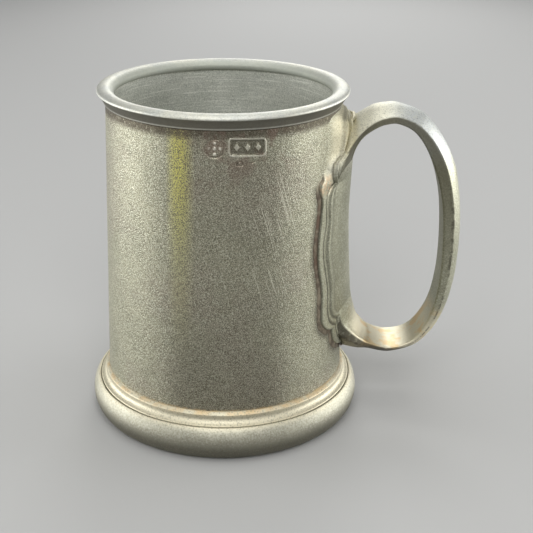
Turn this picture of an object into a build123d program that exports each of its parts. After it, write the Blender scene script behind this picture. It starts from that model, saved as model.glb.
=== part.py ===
"""A one-handled pewter tankard: a tapered cast drum with a lip band, a moulded foot, a flat bottom
and a strap handle on a scalloped plate, soldered together.

Millimetres, +Z up. The origin is on the drum's axis, on the plane that the foot rests on.
The handle points along +X, and the plane Y = 0 is its mirror plane.
"""

import math
import os

from build123d import *

# Drum: a slightly tapered tube, open at both ends.
DRUM_Z0 = 12.0
DRUM_Z1 = 119.0
DRUM_WALL = 2.0
CONE_LOW = (43.8, 17.1)
CONE_HIGH = (41.05, 117.1)

# Lip band round the drum's mouth.
TOP_Z = 122.6
LIP_R = 43.95
LIP_CREST_R = 41.3
LIP_BORE_R = 38.0
LIP_SKIRT_Z = 117.3
LIP_SKIRT_R = 41.65

# Foot ring below the drum.
FOOT_TOP_Z = 17.1
FOOT_R = 50.0
BULGE_R = 44.7
BULGE_Z = 7.1
GROOVE_Z = 12.5
GROOVE_R = 47.1
FOOT_BORE_R = 40.6

# Bottom disc inside the drum's lower end.
BASE_R = 41.75
BASE_THICK = 1.6

# Solder.
FILM = 0.2
BEAD = 0.6

# Handle plate on the drum, in three steps.
PLATE_TOP_Z = 116.3
PLATE_LOW_Z = 24.5
RIM_TIER = 0.9
THREAD_TIER = 1.6
FACE_TIER = 3.2

# Handle strap.
STRAP_ROOT_HALF = 9.3
STRAP_OUTER_HALF = 7.6
STRAP_REACH = 85.5
STRAP_CROWN = 2.4

PARTS = "parts"
AROUND_Z = Axis.Z


def drum_radius(z):
    """Outer radius of the drum at a height."""
    (r0, z0), (r1, z1) = CONE_LOW, CONE_HIGH
    return r0 + (r1 - r0) * (z - z0) / (z1 - z0)


def turned(edges):
    """A ring turned about the Z axis from a closed chain of edges in the XZ plane."""
    return revolve(make_face(edges), axis=AROUND_Z)


def at(*points):
    """Points of the XZ plane from (radius, height) pairs."""
    return [Vector(r, 0, z) for r, z in points]


def chain(*points):
    return Polyline(*at(*points))


def arc(*points):
    return ThreePointArc(*at(*points))


def make_drum():
    low, high = drum_radius(DRUM_Z0), drum_radius(DRUM_Z1)
    wall = chain(
        (low, DRUM_Z0),
        (high, DRUM_Z1),
        (high - DRUM_WALL, DRUM_Z1),
        (low - DRUM_WALL, DRUM_Z0),
        (low, DRUM_Z0),
    )
    return turned(wall)


def make_lip_band():
    """A band on the drum's edge: domed on top, turned in a little inside, with a cove under its
    overhang."""
    seat = drum_radius(DRUM_Z1)
    skirt = drum_radius(LIP_SKIRT_Z)
    corner_z = TOP_Z - 1.3
    edges = [
        chain((LIP_SKIRT_R, LIP_SKIRT_Z), (skirt, LIP_SKIRT_Z), (seat, DRUM_Z1), (LIP_BORE_R, DRUM_Z1),
              (LIP_BORE_R, TOP_Z - 2.0)),
        arc((LIP_BORE_R, TOP_Z - 2.0), (LIP_BORE_R + 1.2, TOP_Z - 0.6), (LIP_CREST_R, TOP_Z)),
        arc((LIP_CREST_R, TOP_Z), (LIP_R - 0.8, TOP_Z - 0.45), (LIP_R, corner_z)),
        chain((LIP_R, corner_z), (LIP_R - 0.1, corner_z - 0.35)),
        arc((LIP_R - 0.1, corner_z - 0.35), (LIP_SKIRT_R + 0.95, DRUM_Z1 - 0.05),
            (LIP_SKIRT_R, LIP_SKIRT_Z)),
    ]
    return turned(edges)


def bulge(angle):
    """A point of the foot's rounded bulge, an ellipse in section, at an angle above its middle."""
    a = math.radians(angle)
    return BULGE_R + (FOOT_R - BULGE_R) * math.cos(a), BULGE_Z + BULGE_Z * math.sin(a)


def make_foot_ring():
    """A moulded ring: bead, cove, ridge, groove and a big rounded bulge, hollow underneath."""
    low, top = drum_radius(DRUM_Z0), drum_radius(FOOT_TOP_Z)
    bulge_top = bulge(52)
    bulge_foot = bulge(-80)
    edges = [
        chain((FOOT_BORE_R, DRUM_Z0), (low, DRUM_Z0), (top, FOOT_TOP_Z), (top + 0.3, FOOT_TOP_Z - 0.1)),
        arc((top + 0.3, FOOT_TOP_Z - 0.1), (top + 0.5, FOOT_TOP_Z - 0.5), (top + 0.3, FOOT_TOP_Z - 0.9)),
        arc((top + 0.3, FOOT_TOP_Z - 0.9), (top + 0.95, 14.2), (GROOVE_R - 1.2, GROOVE_Z + 0.7)),
        arc((GROOVE_R - 1.2, GROOVE_Z + 0.7), (GROOVE_R - 0.5, GROOVE_Z + 0.8), (GROOVE_R, GROOVE_Z)),
        chain((GROOVE_R, GROOVE_Z), bulge_top),
        arc(bulge_top, bulge(26), bulge(0)),
        arc(bulge(0), bulge(-42), bulge_foot),
        chain(bulge_foot, (bulge_foot[0] - 0.4, 0), (FOOT_BORE_R + 1.9, 0)),
        arc((FOOT_BORE_R + 1.9, 0), (FOOT_BORE_R + 0.5, 5.5), (FOOT_BORE_R, DRUM_Z0)),
    ]
    return turned(edges)


def make_base_disc():
    return Pos(0, 0, DRUM_Z0) * Cylinder(BASE_R, BASE_THICK, align=(Align.CENTER, Align.CENTER, Align.MIN))


def make_base_solder():
    """Solder between the disc's edge and the drum's wall, with a small fillet inside the drum."""
    low, high = DRUM_Z0, DRUM_Z0 + BASE_THICK
    wall_top = high + BEAD
    edges = chain(
        (BASE_R, low),
        (drum_radius(low) - DRUM_WALL, low),
        (drum_radius(wall_top) - DRUM_WALL, wall_top),
        (BASE_R - BEAD, high),
        (BASE_R, high),
        (BASE_R, low),
    )
    return turned(edges)


def make_foot_solder():
    """A bead in the corner where the drum stands in the foot."""
    edges = chain(
        (drum_radius(FOOT_TOP_Z), FOOT_TOP_Z),
        (drum_radius(FOOT_TOP_Z) + 0.3, FOOT_TOP_Z - 0.1),
        (drum_radius(FOOT_TOP_Z + BEAD), FOOT_TOP_Z + BEAD),
        (drum_radius(FOOT_TOP_Z), FOOT_TOP_Z),
    )
    return turned(edges)


def make_lip_solder():
    """A bead in the corner under the lip band's skirt."""
    low = LIP_SKIRT_Z - BEAD
    edges = chain(
        (drum_radius(LIP_SKIRT_Z), LIP_SKIRT_Z),
        (LIP_SKIRT_R - 0.15, LIP_SKIRT_Z),
        (drum_radius(low), low),
        (drum_radius(LIP_SKIRT_Z), LIP_SKIRT_Z),
    )
    return turned(edges)


def plate_layer(inner, outer):
    """A layer between two offsets from the drum, all the way round, with its ends bevelled."""
    bevel = outer - inner
    low, high = PLATE_LOW_Z, PLATE_TOP_Z
    return turned(chain(
        (drum_radius(low) + inner, low),
        (drum_radius(low) + outer, low),
        (drum_radius(high - bevel) + outer, high - bevel),
        (drum_radius(high) + inner, high),
        (drum_radius(low) + inner, low),
    ))


def from_handle_side(half_edges):
    """A prism along X, on the handle's side, from one half of an outline in the YZ plane."""
    half = [Edge(e.wrapped) for part in half_edges for e in part.edges()]
    outline = half + [mirror(e, about=Plane.XZ) for e in half]
    return extrude(make_face(outline), amount=60, dir=(1, 0, 0))


def side(*points):
    """Points of the YZ plane from (half width, height) pairs."""
    return [Vector(0, y, z) for y, z in points]


def rim_outline():
    """The plate's scalloped outer edge, from the middle of its top to the middle of its bottom."""
    return [
        Polyline(*side((0, PLATE_TOP_Z), (10.5, PLATE_TOP_Z))),
        ThreePointArc(*side((10.5, PLATE_TOP_Z), (15.0, 114.6), (16.7, 110.5))),
        Polyline(*side((16.7, 110.5), (16.9, 103.5))),
        ThreePointArc(*side((16.9, 103.5), (18.2, 98.6), (22.2, 95.6))),
        ThreePointArc(*side((22.2, 95.6), (25.6, 75.0), (23.3, 54.0))),
        ThreePointArc(*side((23.3, 54.0), (23.5, 43.0), (19.8, 38.0))),
        ThreePointArc(*side((19.8, 38.0), (18.7, 31.6), (12.6, 28.4))),
        Polyline(*side((12.6, 28.4), (10.6, PLATE_LOW_Z), (0, PLATE_LOW_Z))),
    ]


def thread_outline():
    """The inner moulding, which follows the outer edge at a few millimetres."""
    return [
        Polyline(*side((0, PLATE_TOP_Z - 1.5), (9.5, PLATE_TOP_Z - 1.5))),
        ThreePointArc(*side((9.5, PLATE_TOP_Z - 1.5), (13.5, 105.0), (14.6, 96.0))),
        ThreePointArc(*side((14.6, 96.0), (18.6, 93.4), (19.6, 89.0))),
        ThreePointArc(*side((19.6, 89.0), (21.9, 72.0), (19.4, 53.0))),
        ThreePointArc(*side((19.4, 53.0), (19.6, 43.5), (15.6, 38.3))),
        ThreePointArc(*side((15.6, 38.3), (14.4, 31.8), (10.0, 29.0))),
        Polyline(*side((10.0, 29.0), (9.0, PLATE_LOW_Z + 1), (0, PLATE_LOW_Z + 1))),
    ]


def face_outline():
    """The raised face in the plate's middle, which carries the strap."""
    return [
        Polyline(*side((0, PLATE_TOP_Z), (12.6, PLATE_TOP_Z), (12.6, 101.0))),
        ThreePointArc(*side((12.6, 101.0), (17.4, 74.0), (15.2, 46.0))),
        ThreePointArc(*side((15.2, 46.0), (13.4, 42.5), (11.4, 40.6))),
        Polyline(*side((11.4, 40.6), (10.6, PLATE_LOW_Z), (0, PLATE_LOW_Z))),
    ]


def make_handle_plate():
    """A scalloped plate curved to the drum, in three steps up to the face in its middle."""
    rim = from_handle_side(rim_outline()) & plate_layer(FILM, FILM + RIM_TIER)
    thread = from_handle_side(thread_outline()) & plate_layer(FILM, FILM + THREAD_TIER)
    face = from_handle_side(face_outline()) & plate_layer(FILM, FILM + FACE_TIER)
    return rim + thread + face


def make_plate_solder():
    return from_handle_side(rim_outline()) & plate_layer(0, FILM)


def strap_profile():
    """The strap from the side: its inner curve, its outer curve and two roots inside the plate."""
    inner = Spline(*at((44.6, 93.5), (46.6, 100.4), (51.7, 108.3), (59.0, 111.4), (66.6, 108.2),
                       (72.6, 98.5), (77.4, 83.5), (78.9, 63.0), (76.7, 42.0), (71.5, 31.2),
                       (62.0, 26.3), (53.9, 28.4), (48.9, 36.5), (46.3, 46.0)))
    outer = Spline(*at((44.6, 111.0), (49.1, 114.0), (54.2, 116.2), (60.6, 116.7), (68.4, 114.2),
                       (75.3, 108.2), (80.6, 98.8), (84.2, 84.5), (STRAP_REACH, 68.0),
                       (84.6, 51.5), (80.0, 35.6), (73.8, 26.8), (67.2, 22.9), (60.5, 21.6),
                       (53.7, 22.4), (46.3, 24.9)))
    return [
        inner,
        outer,
        Polyline(inner @ 0, outer @ 0),
        Polyline(inner @ 1, outer @ 1),
    ]


def strap_plan():
    """The strap from above: wide at its roots, narrower at its outermost bend."""
    edges = [
        Polyline((40, -STRAP_ROOT_HALF), (58, -STRAP_ROOT_HALF)),
        ThreePointArc((58, -STRAP_ROOT_HALF), (74, -8.6), (90, -STRAP_OUTER_HALF + 0.3)),
    ]
    return edges + [mirror(e, about=Plane.XZ) for e in edges] + [
        Polyline((40, -STRAP_ROOT_HALF), (40, STRAP_ROOT_HALF)),
        Polyline((90, -STRAP_OUTER_HALF + 0.3), (90, STRAP_OUTER_HALF - 0.3)),
    ]


def make_whole_strap():
    """The strap before its roots are fitted to the plate, with a crowned outer face."""
    blank = extrude(Pos(0, -12, 0) * make_face(strap_profile()), amount=24, dir=(0, 1, 0))
    strap = blank & extrude(make_face(strap_plan()), amount=130)
    outer_face = strap.faces().sort_by(Axis.X)[-1]
    return chamfer(outer_face.edges().filter_by(GeomType.BSPLINE), STRAP_CROWN)


def body_of_revolution(offset):
    """Everything within an offset from the drum's outer surface."""
    low, high = PLATE_LOW_Z - 10, TOP_Z
    return turned(chain(
        (0, low),
        (drum_radius(low) + offset, low),
        (drum_radius(high) + offset, high),
        (0, high),
        (0, low),
    ))


def make_strap_and_root_solder():
    """The strap, which stops a solder film short of the plate's face, and the film at each root."""
    front = FILM + FACE_TIER
    whole = make_whole_strap()
    strap = whole - body_of_revolution(front + FILM)
    root_solder = (whole & body_of_revolution(front + FILM)) - body_of_revolution(front)
    return strap, root_solder


def main():
    os.makedirs(PARTS, exist_ok=True)
    strap, root_solder = make_strap_and_root_solder()
    nodes = {
        "drum": make_drum(),
        "lip_band": make_lip_band(),
        "foot_ring": make_foot_ring(),
        "base_disc": make_base_disc(),
        "handle_plate": make_handle_plate(),
        "handle_strap": strap,
        "root_solder": root_solder,
        "plate_solder": make_plate_solder(),
        "base_solder": make_base_solder(),
        "foot_solder": make_foot_solder(),
        "lip_solder": make_lip_solder(),
    }
    for name, shape in nodes.items():
        export_step(shape, f"{PARTS}/{name}.step")
        print(name, round(shape.volume), "mm3", len(shape.solids()), "solids")


main()
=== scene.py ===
"""The looks of a pewter tankard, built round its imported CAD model.

Shapes are worked out in millimetres and made into meshes in metres. The drum's axis is Z, the handle
points along +X, and an angle of -90 degrees round the drum is its front.
"""

import math

import bmesh
import bpy
import numpy as np
from mathutils import Matrix, Vector, noise


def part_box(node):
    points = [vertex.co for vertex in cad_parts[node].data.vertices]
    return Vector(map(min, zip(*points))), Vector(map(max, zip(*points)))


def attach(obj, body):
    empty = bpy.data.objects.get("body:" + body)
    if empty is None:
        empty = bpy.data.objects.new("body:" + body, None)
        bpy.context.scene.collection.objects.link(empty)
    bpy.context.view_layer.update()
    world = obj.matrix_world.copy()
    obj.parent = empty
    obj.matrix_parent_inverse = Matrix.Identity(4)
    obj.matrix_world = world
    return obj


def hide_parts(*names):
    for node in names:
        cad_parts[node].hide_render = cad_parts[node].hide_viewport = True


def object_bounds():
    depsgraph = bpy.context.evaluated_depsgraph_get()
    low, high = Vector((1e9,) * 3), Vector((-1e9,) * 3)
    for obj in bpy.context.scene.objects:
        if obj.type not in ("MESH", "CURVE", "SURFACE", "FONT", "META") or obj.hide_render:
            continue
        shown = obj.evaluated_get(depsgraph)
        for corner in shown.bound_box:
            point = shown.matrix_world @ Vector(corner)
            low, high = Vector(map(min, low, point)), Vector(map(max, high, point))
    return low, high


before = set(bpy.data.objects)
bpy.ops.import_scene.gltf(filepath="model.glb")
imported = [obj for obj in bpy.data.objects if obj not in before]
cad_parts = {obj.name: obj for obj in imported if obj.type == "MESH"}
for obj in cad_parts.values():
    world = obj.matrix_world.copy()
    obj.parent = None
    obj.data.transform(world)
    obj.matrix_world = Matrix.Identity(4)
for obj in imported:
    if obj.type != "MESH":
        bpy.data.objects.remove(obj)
CAD_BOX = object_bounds()

MM = 0.001
BODY = "root"


# ---------------------------------------------------------------- sizes, in millimetres

DRUM_LOW = (43.8, 17.1)
DRUM_HIGH = (41.05, 117.1)
DRUM_Z0, DRUM_Z1 = 12.0, 119.0
DRUM_WALL = 2.0
TOP_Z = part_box("lip_band")[1].z / MM
LIP_R = 43.95
FOOT_R = 50.0
BULGE_R, BULGE_Z = 44.7, 7.1
GROOVE_R, GROOVE_Z = 47.1, 12.5
FOOT_BORE_R = 40.6
FOOT_TOP_Z = 17.1
BASE_R, BASE_THICK = 41.75, 1.6


def drum_radius(z):
    """Outer radius of the drum at a height."""
    (r0, z0), (r1, z1) = DRUM_LOW, DRUM_HIGH
    return r0 + (r1 - r0) * (z - z0) / (z1 - z0)


# ---------------------------------------------------------------- mesh helpers

def make_object(name, points, faces, replaces, attributes=None):
    """A smooth-shaded closed mesh from points in millimetres, riding on the tankard's one body."""
    mesh = bpy.data.meshes.new(name)
    mesh.from_pydata((np.asarray(points) * MM).tolist(), [], faces)
    for key, values in (attributes or {}).items():
        layer = mesh.attributes.new(key, "FLOAT", "POINT")
        layer.data.foreach_set("value", np.asarray(values, np.float32).ravel())
    mesh.validate()
    mesh.polygons.foreach_set("use_smooth", [True] * len(mesh.polygons))
    obj = bpy.data.objects.new(name, mesh)
    bpy.context.scene.collection.objects.link(obj)
    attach(obj, BODY)
    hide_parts(*replaces)
    return obj


def grid_faces(rows, columns, wrap_rows=False, wrap_columns=False, flip=False):
    """Quads of a grid of points that is stored row by row."""
    i = np.arange(rows if wrap_rows else rows - 1)[:, None]
    j = np.arange(columns if wrap_columns else columns - 1)[None, :]
    a = i * columns + j
    b = i * columns + (j + 1) % columns
    c = ((i + 1) % rows) * columns + (j + 1) % columns
    d = ((i + 1) % rows) * columns + j
    quads = np.stack([a, b, c, d], -1).reshape(-1, 4)
    return (quads[:, ::-1] if flip else quads).tolist()


def curve_through(points, count):
    """A smooth curve through points of any dimension, evenly spread over its length."""
    p = np.asarray(points, float)
    if len(p) == 2:
        return p[0] + (p[1] - p[0]) * np.linspace(0, 1, count)[:, None]
    step = np.linalg.norm(np.diff(p, axis=0), axis=1)
    t = np.r_[0, np.cumsum(step)]
    slope = np.empty_like(p)
    slope[1:-1] = (p[2:] - p[:-2]) / (t[2:] - t[:-2])[:, None]
    slope[0] = 2 * (p[1] - p[0]) / step[0] - slope[1]
    slope[-1] = 2 * (p[-1] - p[-2]) / step[-1] - slope[-2]
    at = np.linspace(0, t[-1], count)
    k = np.clip(np.searchsorted(t, at, side="right") - 1, 0, len(p) - 2)
    h = (t[k + 1] - t[k])[:, None]
    u = ((at - t[k]) / (t[k + 1] - t[k]))[:, None]
    return ((2 * u**3 - 3 * u**2 + 1) * p[k] + (u**3 - 2 * u**2 + u) * h * slope[k]
            + (3 * u**2 - 2 * u**3) * p[k + 1] + (u**3 - u**2) * h * slope[k + 1])


def arc_points(centre, radii, start, end, count):
    """Points of an elliptical arc in the (radius, height) plane; angles in degrees."""
    a = np.radians(np.linspace(start, end, count))
    return np.stack([centre[0] + radii[0] * np.cos(a), centre[1] + radii[1] * np.sin(a)], -1)


def smooth_step(low, high, x):
    """0 at low, 1 at high, smooth between; low may be the larger."""
    t = np.clip((np.asarray(x, float) - low) / (high - low), 0, 1)
    return t * t * (3 - 2 * t)


def ripple(points, size, seed):
    """Smooth noise of about -1 to 1 at points in millimetres; size is that of its features."""
    shift = Vector((seed * 17.3, seed * 5.1, seed * 9.7))
    flat = np.asarray(points, float).reshape(-1, 3) / size
    values = [noise.noise(Vector(p) + shift) for p in flat]
    return np.array(values).reshape(np.asarray(points).shape[:-1])


def turned_points(profile, angles):
    """Points of a (radius, height) profile turned to each angle: a grid of profile by angle."""
    p = np.asarray(profile, float)
    r, z = p[:, 0][:, None], p[:, 1][:, None]
    a = np.asarray(angles)[None, :]
    return np.stack([r * np.cos(a), r * np.sin(a), z + 0 * a], -1)


def around(count):
    """Evenly spaced angles of a full turn, in radians."""
    return np.linspace(0, 2 * math.pi, count, endpoint=False)


def turned_object(name, profile, replaces, wobble=0.0, wobble_size=9.0, recess=None, bored=None,
                  count=512):
    """A ring turned from a closed profile, listed anticlockwise, with a little cast unevenness."""
    grid = turned_points(profile, around(count))
    if wobble:
        out = grid * [1, 1, 0]
        out /= np.linalg.norm(out, axis=-1, keepdims=True)
        grid = grid + out * (ripple(grid, wobble_size, len(name)) * wobble)[..., None]
    rows, columns = grid.shape[:2]
    layers = {key: np.repeat(np.zeros(rows) if values is None else values, columns)
              for key, values in (("recess", recess), ("bored", bored))}
    faces = grid_faces(rows, columns, wrap_rows=True, wrap_columns=True, flip=True)
    return make_object(name, grid.reshape(-1, 3), faces, replaces, layers)


# ---------------------------------------------------------------- drum with its stamped marks

CARTOUCHE = dict(angle=-75.5, z=111.4, half_width=5.6, half_height=2.45)
TOUCH = dict(angle=-90.2, z=111.2, radius=3.0)
SMALL_PUNCH = dict(angle=-79.2, z=106.2)
NICK = dict(angle=-72.0, z=106.6)


def along_drum(angles, z, middle):
    """Distance along the drum's surface from the vertical line at an angle in degrees."""
    turn = (np.degrees(angles) - middle + 180) % 360 - 180
    return np.radians(turn) * drum_radius(z)


def box_distance(x, y, half_x, half_y, corner):
    """Signed distance to a rounded rectangle, negative inside."""
    qx, qy = np.abs(x) - half_x + corner, np.abs(y) - half_y + corner
    outside = np.hypot(np.maximum(qx, 0), np.maximum(qy, 0))
    return outside + np.minimum(np.maximum(qx, qy), 0) - corner


def cartouche_relief(angles, z):
    """A sunk rectangle with three raised lozenges: a generic punch."""
    mark = CARTOUCHE
    x = along_drum(angles, z, mark["angle"])
    y = z - mark["z"] + 0.03 * x
    d = box_distance(x, y, mark["half_width"], mark["half_height"], 0.7)
    relief = -0.42 * smooth_step(0.12, -0.28, d) + 0.14 * np.exp(-((d - 0.35) / 0.28) ** 2)
    for k in (-1, 0, 1):
        lozenge = np.abs(x - 3.5 * k) / 1.25 + np.abs(y) / 1.6
        relief += 0.54 * smooth_step(1.08, 0.6, lozenge)
    return relief


def touch_relief(angles, z):
    """A worn round punch: a ring with four pellets round a boss."""
    mark = TOUCH
    x = along_drum(angles, z, mark["angle"])
    y = z - mark["z"]
    r, a = np.hypot(x, y), np.arctan2(y, x)
    ring = np.exp(-((r - mark["radius"]) / 0.28) ** 2)
    pellets = smooth_step(0.3, 0.8, np.cos(4 * a)) * np.exp(-((r - 1.8) / 0.4) ** 2)
    wear = 0.4 + 0.6 * smooth_step(-0.5, 0.5, np.sin(1.1 * x + 0.7) - 0.35 * y)
    return wear * (-0.28 * ring + 0.26 * pellets + 0.2 * smooth_step(0.8, 0.3, r))


def small_marks_relief(angles, z):
    """A small worn punch below the cartouche and a shallow wavy nick beside it."""
    x, y = along_drum(angles, z, SMALL_PUNCH["angle"]), z - SMALL_PUNCH["z"]
    d = box_distance(x, y, 1.3, 1.0, 0.7)
    relief = -0.22 * smooth_step(0.1, -0.25, d) + 0.18 * smooth_step(0.7, 0.3, np.hypot(x - 0.2, y))
    x, y = along_drum(angles, z, NICK["angle"]), z - NICK["z"]
    line = y - 0.35 * np.sin(1.7 * x + 0.6)
    return relief - 0.16 * np.exp(-((line / 0.22) ** 2)) * smooth_step(2.1, 1.5, np.abs(x))


def make_drum():
    """The drum's wall, with a fine mesh where it is stamped."""
    marked = np.radians(np.arange(-97.5, -64.0, 0.2))
    plain = np.radians(np.arange(-64.0, 262.5, 1.0))
    angles = np.r_[marked, plain]
    rise = np.r_[np.linspace(DRUM_Z0, 103.0, 84)[:-1], np.arange(103.0, 115.8, 0.15),
                 np.linspace(115.8, DRUM_Z1 - 0.06, 5), DRUM_Z1]
    outer = np.stack([drum_radius(rise), rise], -1)
    fall = np.r_[DRUM_Z1, np.linspace(DRUM_Z1 - 0.06, DRUM_Z0, 40)]
    inner = np.stack([drum_radius(fall) - DRUM_WALL, fall], -1)
    grid = turned_points(np.r_[outer, inner], angles)
    a = np.broadcast_to(angles[None, :], grid.shape[:2])
    z = grid[..., 2]
    out = grid * [1, 1, 0]
    out /= np.linalg.norm(out, axis=-1, keepdims=True)
    wall = np.zeros(grid.shape[:2])
    wall[:len(outer)] = 1
    stamps = cartouche_relief(a, z) + touch_relief(a, z) + small_marks_relief(a, z)
    uneven = 0.05 * ripple(grid, 14.0, 1) + 0.03 * ripple(grid, 5.0, 2)
    edges = smooth_step(18.5, 22, z) * smooth_step(116.5, 113, z)
    grid = grid + out * (wall * (stamps + uneven * edges))[..., None]
    rows, columns = grid.shape[:2]
    faces = grid_faces(rows, columns, wrap_rows=True, wrap_columns=True, flip=True)
    layers = {"recess": np.clip(-stamps * wall * 2.2, 0, 1), "wear": np.clip(stamps * wall * 4, 0, 1),
              "plate_edge_shade": wall * near_plate(a, z)}
    obj = make_object("drum_wall", grid.reshape(-1, 3), faces, ["drum"], layers)
    row_of_face = np.repeat(np.arange(rows), columns)
    inside = (row_of_face >= len(outer) - 1) & (row_of_face < rows - 1)
    obj.data.materials.append(drum_paint())
    obj.data.materials.append(inside_paint())
    obj.data.polygons.foreach_set("material_index", inside.astype(np.int32))
    return obj


def near_plate(angles, z):
    """1 beside the handle plate's edge, fading to 0 a few millimetres off, for the painted shade along it."""
    s = np.abs(along_drum(angles, z, 0.0))
    close = np.zeros(s.shape)
    picked = (s < 34) & (z > 22) & (z < 104)
    edge = plate_curve(OUTLINE)[::2, :2]
    spots = np.stack([s[picked], z[picked]], -1)
    gap = np.sqrt(((spots[:, None] - edge[None]) ** 2).sum(-1)).min(1)
    height = spots[:, 1]
    close[picked] = smooth_step(4.6, 1.2, gap) * smooth_step(24, 30, height) * smooth_step(98, 86, height)
    return close


# ---------------------------------------------------------------- turned pieces

def make_lip():
    """The lip: domed on top, with a crisp inner edge and a shallow cove, darkened with painted shade, down to
    a thin skirt.
    """
    seat = drum_radius(DRUM_Z1)
    bore, crest = 38.0, 41.3
    skirt_r, skirt_z = 41.65, 117.3
    cove = curve_through([(skirt_r - 0.03, skirt_z + 0.35), (42.05, 118.35), (42.75, 119.55), (43.45, 120.45),
                          (LIP_R - 0.16, TOP_Z - 1.72)], 16)
    profile = np.r_[
        [(bore + 0.25, DRUM_Z1 + 0.01), (seat - 0.02, DRUM_Z1), (drum_radius(skirt_z) - 0.02, skirt_z),
         (skirt_r - 0.35, skirt_z - 0.1)],
        arc_points((skirt_r - 0.3, skirt_z + 0.15), (0.27, 0.25), -80, 10, 6),
        cove,
        arc_points((LIP_R - 0.2, TOP_Z - 1.5), (0.2, 0.2), -60, 0, 4),
        arc_points((crest, TOP_Z - 1.4), (LIP_R - crest, 1.38), 4, 88, 22),
        arc_points((crest, TOP_Z - 3.0), (3.5, 2.98), 90, 155, 24),
        [(bore + 0.02, TOP_Z - 2.0), (bore, TOP_Z - 2.4), (bore, DRUM_Z1 + 0.3)],
    ]
    r, z = profile[:, 0], profile[:, 1]
    # Painted shade in the cove and on the skirt under the lip.
    recess = smooth_step(skirt_z + 0.15, skirt_z + 0.7, z) * smooth_step(TOP_Z - 1.5, TOP_Z - 1.9, z)
    recess = np.maximum(recess, 0.6 * (z < skirt_z + 0.5)) * smooth_step(skirt_r - 0.3, skirt_r - 0.1, r)
    bored = smooth_step(40.2, 38.4, r)
    return turned_object("lip_ring", profile, ["lip_band"], wobble=0.03, wobble_size=7,
                         recess=recess, bored=bored)


def make_foot():
    """The foot: a bead, a cove, a ridge and a groove above the big bulge, hollow underneath."""
    low, top = drum_radius(DRUM_Z0), drum_radius(FOOT_TOP_Z)
    cove = curve_through([(45.0, 15.9), (45.04, 15.3), (45.2, 14.7), (45.55, 14.1), (46.05, 13.65),
                          (46.5, 13.45)], 22)
    profile = np.r_[
        curve_through([(FOOT_BORE_R, DRUM_Z0), (FOOT_BORE_R + 0.5, 5.5), (FOOT_BORE_R + 1.9, 0.05)], 10),
        curve_through([(FOOT_BORE_R + 2.0, 0.0), (45.1, 0.0)], 4),
        arc_points((BULGE_R, BULGE_Z), (FOOT_R - BULGE_R, BULGE_Z), -84, 57, 46),
        curve_through([(47.35, 12.85), (47.12, 12.5), (46.98, 12.8)], 7),
        arc_points((46.66, 12.98), (0.34, 0.42), 10, 110, 8),
        cove[::-1],
        arc_points((44.66, 16.25), (0.34, 0.4), -20, 60, 7),
        [(44.45, 16.88), (44.0, 17.3), (top - 0.03, 17.35), (low - 0.05, DRUM_Z0)],
    ]
    # Painted shade in the groove and at the steep corner above the cove.
    groove = np.hypot(profile[:, 0] - GROOVE_R, profile[:, 1] - GROOVE_Z)
    corner = np.hypot(profile[:, 0] - 45.0, profile[:, 1] - 15.4)
    recess = np.clip(1.1 - groove / 0.45, 0, 1) + 0.35 * np.clip(1.2 - corner / 0.9, 0, 1)
    return turned_object("foot_moulding", profile, ["foot_ring"],
                         wobble=0.06, wobble_size=11, recess=recess, count=640)


def make_base():
    """The bottom disc: faint turned rings on both faces and a centre dimple."""
    r = np.linspace(0.6, BASE_R - 0.02, 90)
    rings = 0.03 * np.sin(r * 2.1) + 0.015 * np.sin(r * 5.3 + 1)
    top = np.stack([r, DRUM_Z0 + BASE_THICK - 0.05 + rings - 0.35 * np.exp(-r / 1.5)], -1)
    low = np.stack([r, DRUM_Z0 + 0.1 + rings * 0.8 + 0.3 * np.exp(-r / 1.5)], -1)
    profile = np.r_[low, top[::-1]]
    return turned_object("bottom_disc", profile, ["base_disc"], count=256)


def bead_object(name, path, radius, replaces, closed=True, seed=3, flat=1.0):
    """An irregular bead of solder along a path; flat is its height over its width."""
    p = np.asarray(path, float)
    ahead = np.roll(p, -1, 0) if closed else np.r_[p[1:], p[-1:]]
    behind = np.roll(p, 1, 0) if closed else np.r_[p[:1], p[:-1]]
    tangent = ahead - behind
    tangent /= np.linalg.norm(tangent, axis=1, keepdims=True)
    outward = p * [1, 1, 0]
    outward /= np.linalg.norm(outward, axis=1, keepdims=True)
    side = np.cross(tangent, outward)
    side /= np.linalg.norm(side, axis=1, keepdims=True)
    normal = np.cross(side, tangent)
    size = radius * (1 + 0.3 * ripple(p, 3.0, seed) + 0.25 * ripple(p, 1.1, seed + 1))
    if not closed:
        size *= np.sqrt(np.clip(np.minimum(np.arange(len(p)), np.arange(len(p))[::-1]) / 6, 0.02, 1))
    turn = around(12)
    grid = (p[:, None] + (size[:, None] * np.cos(turn) * flat)[..., None] * normal[:, None]
            + (size[:, None] * np.sin(turn))[..., None] * side[:, None])
    rows, columns = grid.shape[:2]
    faces = grid_faces(rows, columns, wrap_rows=closed, wrap_columns=True)
    if not closed:
        faces += [list(range(columns))[::-1], [(rows - 1) * columns + k for k in range(columns)]]
    return make_object(name, grid.reshape(-1, 3), faces, replaces)


def ring_path(radius, z, count=720):
    """A level circle round the drum's axis."""
    return turned_points([(radius, z)], around(count))[0]


def make_ring_solder():
    """The three level seams: at the foot, under the lip and round the bottom disc."""
    top = drum_radius(FOOT_TOP_Z)
    bead_object("foot_seam", ring_path(top + 0.02, 17.36), 0.16, ["foot_solder"], seed=4)
    bead_object("lip_seam", ring_path(drum_radius(117.0) + 0.05, 117.05), 0.2, ["lip_solder"],
                seed=6)
    inside = drum_radius(13.8) - DRUM_WALL
    bead_object("bottom_seam", ring_path(inside - 0.1, 13.65, 480), 0.42, ["base_solder"], seed=8)


# ---------------------------------------------------------------- handle plate

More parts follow.
